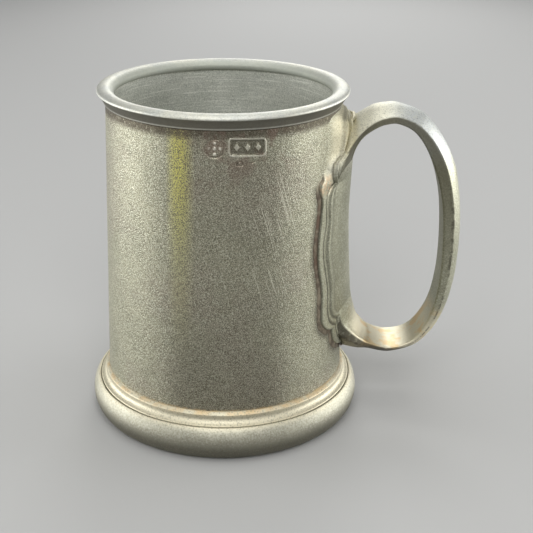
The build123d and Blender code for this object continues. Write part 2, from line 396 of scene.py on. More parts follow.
# Each curve runs down one half of the plate, from the middle of its top to the middle of its bottom.
# A point is (distance round the drum from the middle, height, height above the drum's surface).
# The parts of a curve meet at the plate's cusps.
OUTLINE = [
    [(0, 116.7, 0), (9.3, 116.6, 0), (19.1, 116.3, 0), (22.4, 114, 0)],
    [(22.4, 114, 0), (22.7, 107.5, 0), (23.3, 102, 0), (24, 98.6, 0), (24.9, 96, 0)],
    [(24.9, 96, 0), (26.9, 93.1, 0), (25.3, 88.4, 0), (26, 83, 0), (27.8, 72.5, 0), (27.8, 65.5, 0),
     (26, 55.2, 0), (26.3, 46.7, 0), (25.9, 42.6, 0), (22.9, 39.3, 0), (18.5, 38.2, 0)],
    [(18.5, 38.2, 0), (18.2, 34.3, 0), (14.6, 30.4, 0), (8.4, 27.6, 0), (0, 25, 0)],
]
GROOVE = [
    [(0, 114.4, 1.1), (6.1, 114.3, 1.4), (10.4, 113.2, 2)],
    [(10.4, 113.2, 2), (12.3, 109.2, 2.7), (12.9, 105.4, 2.5), (14.7, 102.2, 2), (18.1, 100.2, 1.4),
     (19, 97, 1), (16.7, 92.4, 0.69)],
    [(16.7, 92.4, 0.69), (20.6, 91.7, 0.56), (23.1, 87.4, 0.56), (22.9, 80.6, 0.56), (25.1, 72, 0.56),
     (24.7, 65, 0.56), (22.4, 55.3, 0.56), (22.6, 47, 0.56), (21.1, 42.2, 0.56), (18.9, 40, 0.56),
     (15.7, 38.3, 0.62)],
    [(15.7, 38.3, 0.62), (15.1, 35.6, 0.69), (13.3, 32.8, 0.81), (10.1, 30.2, 0.94), (0, 26.6, 1.3)],
]
THREAD = [
    [(0, 113.4, 2.2), (4.9, 113.5, 2.4), (8.3, 112.7, 2.9)],
    [(8.3, 112.7, 2.9), (9.1, 109.5, 3.5), (10.8, 106.6, 3.4), (14.3, 102.2, 2.6), (18.1, 100.3, 2),
     (18.8, 97.5, 1.6), (16.8, 92.9, 1.1)],
    [(16.8, 92.9, 1.1), (20, 91, 0.94), (22.3, 87.5, 0.88), (22.3, 80.5, 0.88), (24.4, 70.5, 0.88),
     (23, 61.1, 0.88), (21.6, 53, 0.88), (21.8, 46.7, 0.88), (20.8, 43.6, 0.88), (18.7, 41.4, 0.88),
     (15.7, 39.6, 0.94)],
    [(15.7, 39.6, 0.94), (14.7, 35.7, 1.1), (13, 33, 1.3), (10.3, 30.6, 1.6), (0, 27.6, 1.9)],
]
RIDGE = [
    [(0, 112.5, 3.2), (3.5, 112.7, 3.4), (5.9, 111.9, 3.7)],
    [(5.9, 111.9, 3.7), (6.5, 108.5, 4), (8.4, 104.9, 3.8), (12.2, 102.2, 3.3), (15.9, 99.8, 2.6),
     (17.1, 96.5, 2.2), (16.3, 92.2, 1.8)],
    [(16.3, 92.2, 1.8), (18.9, 90.3, 1.5), (20.2, 87.6, 1.5), (20.6, 80.5, 1.5), (22.1, 68.5, 1.5),
     (20.9, 61.5, 1.5), (19.5, 54.6, 1.5), (19.8, 48, 1.5), (19, 45.2, 1.5), (16.6, 42.9, 1.5),
     (13.7, 42.3, 1.8)],
    [(13.7, 42.3, 1.8), (13.1, 38.6, 2), (10.7, 34.6, 2.2), (7.6, 31.8, 2.3), (0, 29.4, 2.5)],
]
SPINE = [
    [(0, 112, 3.8), (0, 111.7, 4), (0, 111.4, 4.1)],
    [(0, 111.4, 4.1), (0, 104, 4.2), (0, 96, 4.1), (0, 92, 3.8)],
    [(0, 92, 3.8), (0, 86, 3.4), (0, 78, 3), (0, 66, 3), (0, 56, 3.3), (0, 46.5, 3.7)],
    [(0, 46.5, 3.7), (0, 41, 4.1), (0, 35, 3.7), (0, 31, 3.4)],
]
PART_COUNTS = (12, 44, 110, 32)


def plate_curve(parts):
    """One half curve of the plate, with its cusps kept sharp."""
    pieces = [curve_through(part, count) for part, count in zip(parts, PART_COUNTS)]
    return np.concatenate([piece[:-1] for piece in pieces[:-1]] + [pieces[-1]])


def on_drum(points):
    """Points from (distance round the drum, height, height above its surface)."""
    s, z, h = np.moveaxis(np.asarray(points, float), -1, 0)
    r = drum_radius(z)
    return np.stack([(r + h) * np.cos(s / r), (r + h) * np.sin(s / r), z], -1)


def across(start, end, shares, rises, soft=0.0):
    """Curves between two curves: a share of the way over, and how far its height has gone.

    Where soft is 1 the height goes evenly."""
    rows = []
    for share, rise in zip(shares, rises):
        row = start + (end - start) * share
        gone = rise * (1 - soft) + share * soft
        row[:, 2] = start[:, 2] + (end[:, 2] - start[:, 2]) * gone
        rows.append(row)
    return rows


def plate_rows():
    """The plate's half curves from its back edge, up its mouldings, to the spine, and their recess."""
    outline, groove, thread, ridge, spine = map(plate_curve, (OUTLINE, GROOVE, THREAD, RIDGE, SPINE))
    # Above this height the plate's border has no step and melts into the drum.
    soft = smooth_step(94.5, 100.0, outline[:, 1])

    def melt(height, share):
        return height * (1 - soft) + soft * (groove[:, 2] * share**1.8 - 0.1 * (1 - share))

    shoulder = outline + (groove - outline) * (0.16 + 0.06 * soft)[:, None]
    shoulder[:, 2] = melt(0.9, 0.22)
    brink = outline + (groove - outline) * 0.82
    brink[:, 2] = melt(groove[:, 2] + 0.35, 0.82)
    bend = outline + (groove - outline) * 0.52
    bend[:, 2] = melt(0.9 + 0.68 * (groove[:, 2] - 0.55), 0.52)
    behind = outline.copy()
    behind[:, 2] = -0.25
    trough = thread + (ridge - thread) * 0.45
    trough[:, 2] = 0.5 * (thread[:, 2] + ridge[:, 2]) - 0.5 - 0.05 * soft
    inner_dip = ridge + (spine - ridge) * 0.08
    inner_dip[:, 2] = ridge[:, 2] - 0.22 - 0.1 * soft
    # Each span: two curves, the shares of the way over, the heights gone, the recess, and how much
    # of the drum's own skin shows where the border melts.
    none = (0, 0, 0)
    spans = [
        (behind, shoulder, (0.3, 0.55, 0.8, 1), (0.35, 0.7, 0.92, 1), (0.9, 0.5, 0.1, 0), (1, 1, 1, 1)),
        (shoulder, bend, (0.33, 0.67, 1), (0.36, 0.70, 1), none, (0.8, 0.55, 0.3)),
        (bend, brink, (0.33, 0.67, 1), (0.45, 0.8, 1), none, (0.15, 0.05, 0)),
        (brink, groove, (0.35, 0.7, 1), (0.25, 0.8, 1), (0.2, 0.8, 1), none),
        (groove, thread, (0.3, 0.6, 0.85, 1), (0.3, 0.75, 0.97, 1), (0.8, 0.3, 0, 0), (0, 0, 0, 0)),
        (thread, trough, (0.3, 0.6, 1), (0.15, 0.65, 1), (0, 0.3, 0.6), none),
        (trough, ridge, (0.3, 0.6, 1), (0.3, 0.8, 1), (0.4, 0.1, 0), none),
        (ridge, inner_dip, (0.3, 0.6, 1), (0.2, 0.7, 1), (0, 0.15, 0.3), none),
    ]
    rows, recess, skin = [behind], [0.8], [1]
    for start, end, shares, rises, depths, skins in spans:
        rows += across(start, end, shares, rises, soft if max(skins) else 0.0)
        recess += depths
        skin += skins
    shares = np.linspace(0, 1, 18)[1:]
    rows += across(inner_dip, spine, shares, np.sin(shares * math.pi / 2))
    recess += list(0.2 * np.clip(1 - shares * 5, 0, 1))
    skin += [0] * len(shares)
    return rows, np.array(recess)[:, None] * (1 - 0.45 * soft), np.array(skin)[:, None] * soft


def closed_ring(half):
    """A ring from a half curve and its mirror image."""
    mirrored = half[-2:0:-1] * [-1, 1, 1]
    return np.r_[half, mirrored]


def make_plate():
    """The scalloped plate, closed at the back just inside the drum's surface."""
    rows, recess, skin = plate_rows()
    spine, behind = rows[-1], rows[0]
    back_spine = spine * [1, 1, 0] + [0, 0, -0.25]
    back = [behind + (back_spine - behind) * share for share in np.linspace(0, 1, 10)[1:]]
    for row in back:
        row[:, 2] = -0.25
    all_rows = [closed_ring(row) for row in back[::-1] + rows]

    def spread(values):
        full = np.r_[np.zeros((len(back), values.shape[1])), values]
        return np.c_[full, full[:, -2:0:-1]]

    grid = on_drum(np.stack(all_rows))
    out = grid * [1, 1, 0]
    out /= np.linalg.norm(out, axis=-1, keepdims=True)
    front = np.zeros(len(all_rows))
    front[len(back) + 3:] = 1
    uneven = 0.07 * ripple(grid, 4.0, 11) + 0.04 * ripple(grid, 1.6, 12)
    grid = grid + out * (uneven * front[:, None])[..., None]
    count, columns = grid.shape[:2]
    faces = grid_faces(count, columns, wrap_columns=True, flip=True)
    layers = {"recess": spread(recess), "drum_skin": spread(skin)}
    obj = make_object("escutcheon", grid.reshape(-1, 3), faces, ["handle_plate"], layers)
    weld(obj)
    return obj


WELD_GAP = 0.002


def weld(obj):
    """Joins the points that meet along a fold, such as the plate's spine."""
    bm = bmesh.new()
    bm.from_mesh(obj.data)
    bmesh.ops.remove_doubles(bm, verts=bm.verts, dist=WELD_GAP * MM)
    bmesh.ops.dissolve_degenerate(bm, dist=WELD_GAP * MM * 0.5, edges=bm.edges)
    bmesh.ops.recalc_face_normals(bm, faces=bm.faces)
    bm.to_mesh(obj.data)
    bm.free()


def plate_border(offset):
    """The plate's outline moved outwards on the drum, as (distance round, height) points."""
    edge = closed_ring(plate_curve(OUTLINE))[:, :2]
    tangent = np.roll(edge, -3, 0) - np.roll(edge, 3, 0)
    tangent /= np.linalg.norm(tangent, axis=1, keepdims=True)
    outward = np.stack([-tangent[:, 1], tangent[:, 0]], -1)
    return edge + outward * offset


def make_plate_solder():
    """The low fillet round the plate, wide low down and thin where the plate melts into the drum."""
    edge = plate_border(0.5)[::2]
    path = on_drum(np.c_[edge, np.full(len(edge), -0.04)])
    width = 1.35 - 1.1 * smooth_step(90, 97, edge[:, 1])
    bead_object("plate_seam", path, width, ["plate_solder"], seed=12, flat=0.15)


# ---------------------------------------------------------------- handle strap

# Stations from the upper root to the lower one: the inner face's middle (x, z), the crown's middle
# (x, z), the height of the side face, the half widths at the inner face and at the crown's edge, and
# how far the edges fall back towards the drum.
STATIONS = [
    (44.3, 90.0, 43.2, 111.2, 0.8, 4.0, 15.8, 4.5),
    (45.4, 95.5, 45.0, 111.7, 1.0, 5.0, 15.6, 4.35),
    (46.1, 98.8, 46.0, 112.1, 1.5, 6.0, 14.2, 3.6),
    (47.4, 102.3, 47.4, 113.0, 2.0, 7.2, 12.2, 2.75),
    (49.9, 106.4, 49.6, 114.4, 2.5, 8.4, 10.4, 1.45),
    (52.8, 109.2, 52.2, 115.8, 2.7, 9.1, 9.7, 0.35),
    (55.8, 110.8, 55.2, 116.5, 2.6, 9.2, 9.3, 0),
    (60.6, 111.3, 60.6, 116.75, 2.7, 9.0, 9.0, 0),
    (67.3, 107.5, 71.0, 112.5, 3.1, 8.7, 8.7, 0),
    (73.4, 97.0, 80.6, 98.8, 4.2, 8.2, 8.2, 0),
    (77.4, 83.5, 84.35, 84.0, 4.0, 7.8, 7.8, 0),
    (78.8, 67.0, 85.5, 67.4, 3.7, 7.6, 7.6, 0),
    (78.3, 51.0, 84.3, 49.8, 2.9, 7.8, 7.8, 0),
    (75.6, 38.6, 80.3, 35.9, 2.1, 8.3, 8.3, 0),
    (70.0, 29.7, 73.0, 26.0, 1.3, 8.5, 8.5, 0),
    (62.0, 26.5, 62.0, 21.9, 0.9, 8.7, 8.7, 0),
    (54.6, 28.2, 53.2, 22.9, 1.3, 9.0, 9.0, 0.4),
    (51.8, 30.9, 50.0, 23.1, 2.8, 10.8, 10.8, 1.3),
    (50.0, 34.2, 47.6, 23.5, 3.8, 12.3, 12.3, 3.1),
    (48.7, 37.5, 45.8, 24.0, 5.0, 13.4, 13.4, 4.6),
    (47.6, 41.5, 44.6, 24.3, 6.4, 14.2, 14.2, 4.9),
    (46.5, 45.5, 43.4, 24.5, 7.6, 14.2, 14.2, 4.7),
]
STRAP_LENGTHS = 300


def strap_section(thick, edge, inner_half, outer_half):
    """One section of the strap as (across, outward) pairs, going round it."""
    r = min(1.0, 0.2 + 0.35 * edge)
    inner = np.linspace(-1, 1, 21)
    flat = np.stack([inner * (inner_half - r), 0.10 * inner**2], -1)
    corner = arc_points((inner_half - r, r + 0.1), (r, r), -80, -8, 6)
    share = np.linspace(0.12, 1, 5)[:, None]
    wall = corner[-1] + ([outer_half, max(edge, 0.75)] - corner[-1]) * share
    top = wall[-1, 1]
    v = np.linspace(1, -1, 41)[1:-1]
    crown = np.stack([v * outer_half, top + (thick - top) * (1 - np.abs(v) ** 2.1)], -1)
    near = [(outer_half - 0.14, top + 0.12)]
    return np.r_[flat, corner, wall, near, crown, near * np.array([-1, 1]), wall[::-1] * [-1, 1],
                 corner[::-1] * [-1, 1]]


def make_strap():
    """The strap, swept through its stations, with flat ends hidden in the plate."""
    lane = curve_through(STATIONS, STRAP_LENGTHS)
    rows = []
    for x0, z0, x1, z1, edge, inner_half, outer_half, fall in lane:
        inner, crown = np.array([x0, z0]), np.array([x1, z1])
        thick = np.linalg.norm(crown - inner)
        up = (crown - inner) / thick
        section = strap_section(thick, edge, inner_half, outer_half)
        spot = inner + section[:, 1:] * up
        back = fall * (section[:, 0] / outer_half) ** 2
        rows.append(np.stack([spot[:, 0] - back, section[:, 0], spot[:, 1]], -1))
    grid = np.stack(rows)
    centre = grid.mean(1, keepdims=True)
    out = grid - centre
    out /= np.linalg.norm(out, axis=-1, keepdims=True)
    grid = grid + out * (0.07 * ripple(grid, 5.0, 21) + 0.03 * ripple(grid, 1.8, 22))[..., None]
    grid[..., 0] = np.minimum(grid[..., 0], CAD_BOX[1][0] / MM - 0.02)
    count, columns = grid.shape[:2]
    faces = grid_faces(count, columns, wrap_columns=True, flip=True)
    faces += [list(range(columns)), [(count - 1) * columns + k for k in range(columns)][::-1]]
    section = strap_section(6.0, 3.5, 8.0, 8.0)
    rim = np.exp(-((np.abs(section[:, 0]) - 7.93) / 0.3) ** 2) * (section[:, 1] > 2.8)
    along = np.linspace(0, 1, count)[:, None]
    outer_side = smooth_step(0.3, 0.9, section[:, 1])[None, :]
    # Painted shade on the strap's sides and crown near its lower root.
    recess = smooth_step(0.78, 0.86, along) * outer_side
    # Marks where painted shade darkens the strap's side walls and, less, its inner face.
    side = np.interp(section[:, 1], [0, 0.7, 1.2, 3.3, 3.75], [0.75, 0.9, 1, 1, 0])
    layers = {"recess": recess, "wear": np.tile(rim, count), "side": np.tile(side, count)}
    obj = make_object("strap", grid.reshape(-1, 3), faces, ["handle_strap"], layers)
    weld(obj)
    return obj


def make_root_solder():
    """Fillets where the strap's two roots leave the plate."""
    half = plate_curve(RIDGE)[PART_COUNTS[0] - 1:PART_COUNTS[0] + PART_COUNTS[1] - 6:2]
    half = np.r_[[(0, 111.9, 4.5), (3.2, 111.9, 4.5)], half - [0.9, 0.2, -0.05]]
    upper = on_drum(np.r_[(half * [-1, 1, 1])[:0:-1], half])
    bead_object("upper_root_seam", upper, 0.75, ["root_solder"], closed=False, seed=14)
    lower = [on_drum([s, 24.6 + 0.035 * s * s, 0.9]) for s in np.linspace(-9, 9, 70)]
    bead_object("lower_root_seam", lower, 0.45, ["root_solder"], closed=False, seed=16)


# ---------------------------------------------------------------- materials

class Paint:
    """A small helper that adds linked nodes to one material."""

    def __init__(self, name):
        self.material = bpy.data.materials.new(name)
        self.material.use_nodes = True
        self.tree = self.material.node_tree
        self.bsdf = self.tree.nodes["Principled BSDF"]
        self.place = self.add("ShaderNodeTexCoord").outputs["Object"]
        self.mm = self.scaled(self.place, (1 / MM,) * 3)

    def add(self, kind, **settings):
        node = self.tree.nodes.new(kind)
        for key, value in settings.items():
            setattr(node, key, value)
        return node

    def put(self, socket, value):
        if isinstance(value, bpy.types.NodeSocket):
            self.tree.links.new(value, socket)
        else:
            socket.default_value = value

    def scaled(self, vector, scale, turn=(0, 0, 0)):
        node = self.add("ShaderNodeMapping")
        self.put(node.inputs["Vector"], vector)
        node.inputs["Scale"].default_value = scale
        node.inputs["Rotation"].default_value = turn
        return node.outputs["Vector"]

    def noise(self, scale, detail=3.0, rough=0.55, vector=None):
        """Smooth cloudy noise; scale counts features per unit of its vector, a millimetre by default."""
        node = self.add("ShaderNodeTexNoise")
        self.put(node.inputs["Vector"], vector or self.mm)
        node.inputs["Scale"].default_value = scale
        node.inputs["Detail"].default_value = detail
        node.inputs["Roughness"].default_value = rough
        return node.outputs["Fac"]

    def cells(self, scale):
        """Rounded cells, for a pebbled look."""
        node = self.add("ShaderNodeTexVoronoi", feature="SMOOTH_F1")
        self.put(node.inputs["Vector"], self.mm)
        node.inputs["Scale"].default_value = scale
        node.inputs["Smoothness"].default_value = 0.6
        return node.outputs["Distance"]

    def math(self, operation, a, b):
        node = self.add("ShaderNodeMath", operation=operation)
        self.put(node.inputs[0], a)
        self.put(node.inputs[1], b)
        return node.outputs[0]

    def times(self, a, b):
        return self.math("MULTIPLY", a, b)

    def plus(self, a, b):
        return self.math("ADD", a, b)

    def between(self, value, low, high):
        """0 below low, 1 above high, smooth between; low may be the larger."""
        node = self.add("ShaderNodeMapRange", interpolation_type="SMOOTHSTEP", clamp=True)
        flip = low > high
        self.put(node.inputs["Value"], value)
        node.inputs["From Min"].default_value = min(low, high)
        node.inputs["From Max"].default_value = max(low, high)
        node.inputs["To Min"].default_value = 1.0 if flip else 0.0
        node.inputs["To Max"].default_value = 0.0 if flip else 1.0
        return node.outputs["Result"]

    def mix(self, share, a, b):
        node = self.add("ShaderNodeMix", data_type="RGBA")
        self.put(node.inputs[0], share)
        self.put(node.inputs[6], a if isinstance(a, bpy.types.NodeSocket) else (*a, 1))
        self.put(node.inputs[7], b if isinstance(b, bpy.types.NodeSocket) else (*b, 1))
        return node.outputs[2]

    def attribute(self, name):
        return self.add("ShaderNodeAttribute", attribute_name=name).outputs["Fac"]

    def axes(self):
        node = self.add("ShaderNodeSeparateXYZ")
        self.put(node.inputs[0], self.mm)
        return node.outputs

    def angle(self):
        """Angle round the drum's axis in degrees, -180 to 180."""
        x, y, _ = self.axes()
        return self.times(self.math("ARCTAN2", y, x), 180 / math.pi)

    def unrolled(self, radius=41.8):
        """(distance round the drum, height, 0) in millimetres."""
        node = self.add("ShaderNodeCombineXYZ")
        self.put(node.inputs[0], self.times(self.angle(), radius * math.pi / 180))
        self.put(node.inputs[1], self.axes()[2])
        return node.outputs[0]

    def bump(self, height, distance, strength=1.0, under=None):
        node = self.add("ShaderNodeBump")
        self.put(node.inputs["Height"], height)
        node.inputs["Distance"].default_value = distance * MM
        node.inputs["Strength"].default_value = strength
        if under is not None:
            self.put(node.inputs["Normal"], under)
        return node.outputs["Normal"]

    def finish(self, colour, roughness, normal, metallic=1.0):
        self.put(self.bsdf.inputs["Base Color"], colour)
        self.put(self.bsdf.inputs["Roughness"], roughness)
        self.put(self.bsdf.inputs["Normal"], normal)
        self.bsdf.inputs["Metallic"].default_value = metallic
        return self.material


ORANGE = (0.68, 0.48, 0.24)
# Dark patina for hollows, also used as painted shade on the strap.
DARK_PATINA_AND_SHADE = (0.085, 0.075, 0.055)


def cast_skin(p):
    """The pebbled skin's grain and its grey-green colour with faint brown clouds."""
    grain = p.plus(p.times(p.noise(3.1, 1.5, 0.5), 0.75),
                   p.times(p.cells(2.9), 0.30))
    metal = p.mix(p.between(p.noise(0.06, 4.0, 0.6), 0.35, 0.68), (0.340, 0.335, 0.245), (0.40, 0.39, 0.286))
    patch = p.times(p.between(p.noise(0.034, 3.0, 0.6), 0.46, 0.64), 0.55)
    metal = p.mix(patch, metal, (0.31, 0.275, 0.22))
    blotch = p.times(p.between(p.noise(0.25, 4.0, 0.65), 0.5, 0.72), 0.35)
    metal = p.mix(blotch, metal, (0.29, 0.30, 0.235))
    metal = p.mix(p.times(p.between(grain, 0.53, 0.64), 0.8), metal, (0.70, 0.69, 0.56))
    metal = p.mix(p.times(p.between(grain, 0.49, 0.39), 0.75), metal, (0.12, 0.115, 0.085))
    return grain, metal


def drum_paint():
    """Cast skin with marks, a painted yellow reflection, painted shade under the lip, over the front and
    beside the plate, rust, orange residue, slanting scratches and patina in the stamps.
    """
    p = Paint("pebbled_pewter")
    grain, metal = cast_skin(p)
    angle, height = p.angle(), p.axes()[2]
    flat = p.unrolled()
    # A painted yellow reflection down the front left, strongest under the lip.
    yellow_reflection = p.times(p.between(angle, -114.0, -107.0), p.between(angle, -98.5, -106.0))
    strength = p.plus(p.times(p.between(height, 66, 108), 0.70),
                      p.times(p.between(height, 30, 75), 0.25))
    yellow_reflection = p.times(p.times(yellow_reflection, strength), p.between(grain, 0.44, 0.56))
    metal = p.mix(yellow_reflection, metal, (0.82, 0.77, 0.18))
    # Painted shadow in a band just under the lip, and rust-brown patina in patches on the front below it.
    under_lip = p.times(p.between(height, 112.8, 115.6), p.between(p.noise(0.9, 4.0, 0.7), 0.2, 0.5))
    metal = p.mix(p.times(under_lip, 0.9), metal, (0.085, 0.07, 0.05))
    rust = p.times(p.between(height, 90, 113), p.between(p.noise(0.12, 3.0), 0.46, 0.60))
    rust = p.times(rust, p.times(p.between(angle, -112, -95), p.between(angle, -50, -66)))
    metal = p.mix(p.times(rust, 0.6), metal, (0.21, 0.13, 0.105))
    # Painted shade over the front of the drum, darker towards the foot, and orange residue just above the
    # foot.
    facing = p.times(p.between(angle, -118, -104), p.between(angle, -52, -68))
    low = p.plus(0.30, p.times(p.between(height, 66, 18), 0.35))
    front_shade = p.mix(p.between(grain, 0.42, 0.58), (0.115, 0.10, 0.075), (0.27, 0.255, 0.20))
    metal = p.mix(p.times(low, facing), metal, front_shade)
    residue = p.times(p.between(height, 18.4, 17.4), p.between(p.noise(0.5, 3.0), 0.35, 0.6))
    metal = p.mix(p.times(residue, 0.45), metal, ORANGE)
    # Painted shade on the drum along the handle plate's edge.
    beside = p.times(p.attribute("plate_edge_shade"), p.between(p.noise(0.35, 4.0, 0.7), 0.15, 0.5))
    metal = p.mix(p.times(beside, 0.8), metal, (0.07, 0.06, 0.045))
    metal = p.mix(p.times(p.attribute("recess"), 0.55), metal, DARK_PATINA_AND_SHADE)
    metal = p.mix(p.times(p.attribute("wear"), 0.8), metal, (0.84, 0.81, 0.70))
    lean = p.scaled(p.scaled(flat, (1, 1, 1), (0, 0, math.radians(-17))), (2.4, 0.035, 1))
    lines = p.between(p.noise(1.0, 2.0, 0.5, lean), 0.60, 0.68)
    where = p.times(p.between(angle, -82, -70), p.between(angle, -44, -54))
    where = p.times(where, p.times(p.between(height, 52, 66), p.between(height, 108, 98)))
    thin = p.times(p.between(p.noise(0.05, 2.0, 0.5, flat), 0.54, 0.62), 0.2)
    scratches = p.times(lines, p.math("MAXIMUM", where, thin))
    metal = p.mix(p.times(scratches, 0.65), metal, (0.68, 0.66, 0.54))
    rough = p.plus(0.40, p.times(p.noise(0.3, 4.0), 0.16))
    normal = p.bump(grain, 0.22, 0.85)
    normal = p.bump(scratches, -0.06, 0.5, normal)
    return p.finish(metal, rough, normal, 0.96)


def inside_paint():
    """The drum's inner face: pale grey turned metal with level tool marks and fine specks."""
    p = Paint("inside_pewter")
    metal = p.mix(p.between(p.noise(0.05, 4.0, 0.6), 0.35, 0.66), (0.66, 0.67, 0.60), (0.55, 0.565, 0.50))
    metal = p.mix(p.times(p.between(p.noise(0.3, 4.0, 0.7), 0.5, 0.7), 0.4), metal, (0.50, 0.52, 0.47))
    lathe = p.scaled(p.unrolled(39.0), (0.05, 1.5, 1))
    lines = p.noise(1.0, 3.0, 0.65, lathe)
    metal = p.mix(p.times(p.between(lines, 0.52, 0.66), 0.35), metal, (0.40, 0.41, 0.37))
    metal = p.mix(p.times(p.between(lines, 0.45, 0.36), 0.6), metal, (0.92, 0.92, 0.85))
    grain = p.noise(2.3, 2.5, 0.6)
    metal = p.mix(p.times(p.between(grain, 0.53, 0.66), 0.6), metal, (0.90, 0.90, 0.82))
    metal = p.mix(p.times(p.between(grain, 0.47, 0.34), 0.55), metal, (0.30, 0.31, 0.27))
    rough = p.plus(0.46, p.times(p.noise(0.6, 3.0), 0.16))
    normal = p.bump(lines, 0.05, 0.6)
    normal = p.bump(grain, 0.12, 0.7, normal)
    return p.finish(metal, rough, normal, 0.5)


def turned_paint(name, light, dark, tint, gloss=0.36, residue=0.0, low_shade=0.0, pits=0.5):
    """Satin turned pewter: faint tool lines, fine grain, soft clouds of tarnish and tiny pits, painted shade
    in recesses, and on the foot painted shade low down and a painted cream highlight.
    """
    p = Paint(name)
    clouds = p.noise(0.09, 4.0, 0.6)
    small = p.noise(0.7, 4.0, 0.65)
    grain = p.noise(1.7, 2.0, 0.6)
    metal = p.mix(p.between(clouds, 0.35, 0.68), light, dark)
    metal = p.mix(p.times(p.between(small, 0.5, 0.75), 0.4), metal, tint)
    metal = p.mix(p.times(p.between(grain, 0.52, 0.66), 0.30), metal, (0.80, 0.79, 0.70))
    height = p.axes()[2]
    # Painted shade, darker towards the bottom of the foot's bulge.
    if low_shade:
        low = p.times(p.between(height, 11.0, 4.0), low_shade)
        metal = p.mix(low, metal, (0.085, 0.08, 0.06))
    if residue:
        # Painted highlight: the foot above its bulge is painted cream.
        metal = p.mix(p.between(height, 11.2, 13.2), metal, (0.74, 0.695, 0.54))
        near_drum = p.times(p.between(height, 15.6, 17.0), p.between(p.noise(0.16, 3.0), 0.40, 0.62))
        metal = p.mix(p.times(near_drum, residue), metal, (0.74, 0.57, 0.33))
    grain_dark = p.times(p.between(grain, 0.47, 0.36), pits)
    metal = p.mix(grain_dark, metal, (0.30, 0.28, 0.21))
    # Painted shade in the recesses: the lip's cove and skirt, the foot's groove and the corner above its
    # cove.
    metal = p.mix(p.times(p.attribute("recess"), 0.85), metal, (0.11, 0.10, 0.075))
    metal = p.mix(p.times(p.attribute("bored"), 0.75), metal, (0.50, 0.52, 0.46))
    lathe = p.scaled(p.unrolled(), (0.03, 3.4, 1))
    lines = p.noise(1.0, 3.0, 0.6, lathe)
    rough = p.plus(p.plus(gloss, p.times(small, 0.2)),
                   p.times(p.attribute("bored"), 0.14))
    normal = p.bump(lines, 0.015, 0.5)
    normal = p.bump(grain, 0.085, 0.6, normal)
    return p.finish(metal, rough, normal, 0.97)


def handle_paint():
    """Fine-grained casting: painted lighter and cream on top, painted shade down its sides and underneath,
    dark in its recesses, and a painted lighter face with an orange stain below.
    """
    p = Paint("handle_pewter")
    x, _, z = p.axes()
    small = p.noise(0.8, 4.0, 0.7)
    grain = p.plus(p.times(p.noise(1.9, 2.0, 0.6), 0.75), p.times(p.cells(1.8), 0.30))
    metal = p.mix(p.between(p.noise(0.08, 4.0, 0.6), 0.35, 0.66), (0.42, 0.42, 0.32), (0.35, 0.35, 0.26))
    # Painted light: the upper handle and plate are painted lighter, cream at the plate's top and at the
    # strap's root.
    top = p.between(z, 93, 104)
    metal = p.mix(p.times(top, 0.9), metal, (0.70, 0.725, 0.715))
    plate_top = p.times(top, p.between(x, 49, 45.5))
    metal = p.mix(plate_top, metal, (0.64, 0.60, 0.44))
    root = p.times(top, p.times(p.between(x, 45.5, 49), p.between(x, 66, 54)))
    metal = p.mix(p.times(root, 0.8), metal, (0.76, 0.73, 0.58))
    metal = p.mix(p.times(p.between(small, 0.48, 0.72), 0.25), metal, (0.27, 0.265, 0.20))
    metal = p.mix(p.times(p.between(grain, 0.54, 0.66), 0.45), metal, (0.70, 0.69, 0.56))
    metal = p.mix(p.times(p.between(grain, 0.49, 0.38), 0.40), metal, (0.17, 0.16, 0.12))
    skin_grain, skin = cast_skin(p)
    melt = p.attribute("drum_skin")
    metal = p.mix(melt, metal, skin)
    grain = p.plus(p.times(skin_grain, melt),
                   p.times(grain, p.math("SUBTRACT", 1.0, melt)))
    cusp = p.times(p.between(z, 98, 95), p.between(z, 89, 92))
    cusp = p.times(cusp, p.times(p.between(x, 39, 37), p.between(small, 0.36, 0.58)))
    metal = p.mix(p.times(cusp, 0.7), metal, (0.66, 0.50, 0.33))
    # Painted light on the strap's lower inner face, which faces up, with an orange stain over it.
    bottom = p.times(p.between(z, 46, 33), p.between(x, 44.0, 50.0))
    metal = p.mix(p.times(bottom, 0.8), metal, (0.82, 0.76, 0.58))
    stain = p.times(bottom, p.between(p.noise(0.13, 4.0, 0.6), 0.50, 0.60))
    metal = p.mix(p.times(stain, 0.6), metal, (0.76, 0.54, 0.24))
    # Painted shade on the strap's underside near its lower root.
    under = p.times(p.between(z, 28, 25), p.between(x, 46, 50))
    under = p.times(under, p.math("SUBTRACT", 1.0, p.attribute("side")))
    metal = p.mix(p.times(under, 0.85), metal, (0.13, 0.12, 0.075))
    # Painted shade down the strap's side walls.
    shade = p.times(p.attribute("side"), p.between(z, 30, 108))
    metal = p.mix(p.times(shade, 0.82), metal, (0.13, 0.12, 0.075))
    # Darkened in the plate's grooves, and painted shade on the strap's outer side near its lower root.
    recess = p.attribute("recess")
    broken = p.between(p.noise(0.6, 4.0, 0.7), 0.15, 0.5)
    metal = p.mix(p.times(p.times(recess, broken), 0.78), metal, DARK_PATINA_AND_SHADE)
    wear = p.times(p.attribute("wear"), p.between(p.noise(0.35, 4.0, 0.7), 0.46, 0.56))
    wear = p.times(wear, p.between(z, 98, 86))
    metal = p.mix(p.times(wear, 0.65), metal, DARK_PATINA_AND_SHADE)
    rough = p.plus(p.plus(0.40, p.times(small, 0.2)), p.times(top, 0.10))
    normal = p.bump(grain, 0.10, 0.7)
    return p.finish(metal, rough, normal, 0.96)


